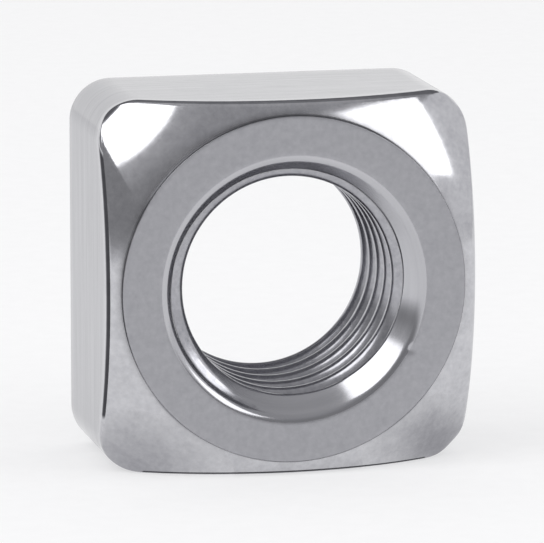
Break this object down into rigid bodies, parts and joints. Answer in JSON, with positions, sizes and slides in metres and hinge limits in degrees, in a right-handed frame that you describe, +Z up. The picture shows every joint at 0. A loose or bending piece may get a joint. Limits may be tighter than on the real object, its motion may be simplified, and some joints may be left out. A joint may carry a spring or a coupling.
{
  "type": "square nut",
  "caption": "Square nut with rounded corners, a crown chamfer round a flat ring on one face, a plain bearing face and a countersunk tapped hole; it clamps on a bolt.",
  "frame": {"origin": "middle of the thread: on its axis, halfway between the ring on the front and the bearing face", "axes": "+Y along the thread axis from the crowned front to the bearing face, +Z up from the flat that the nut stands on, +X to the right seen from the front"},
  "size_m": [0.024, 0.013, 0.024],
  "materials": {
    "stainless_steel": "cold formed and tumbled, satin ring, brighter chamfer and flats"
  },
  "bodies": {
    "root": {"square_nut": "stainless_steel"}
  },
  "joints": []
}
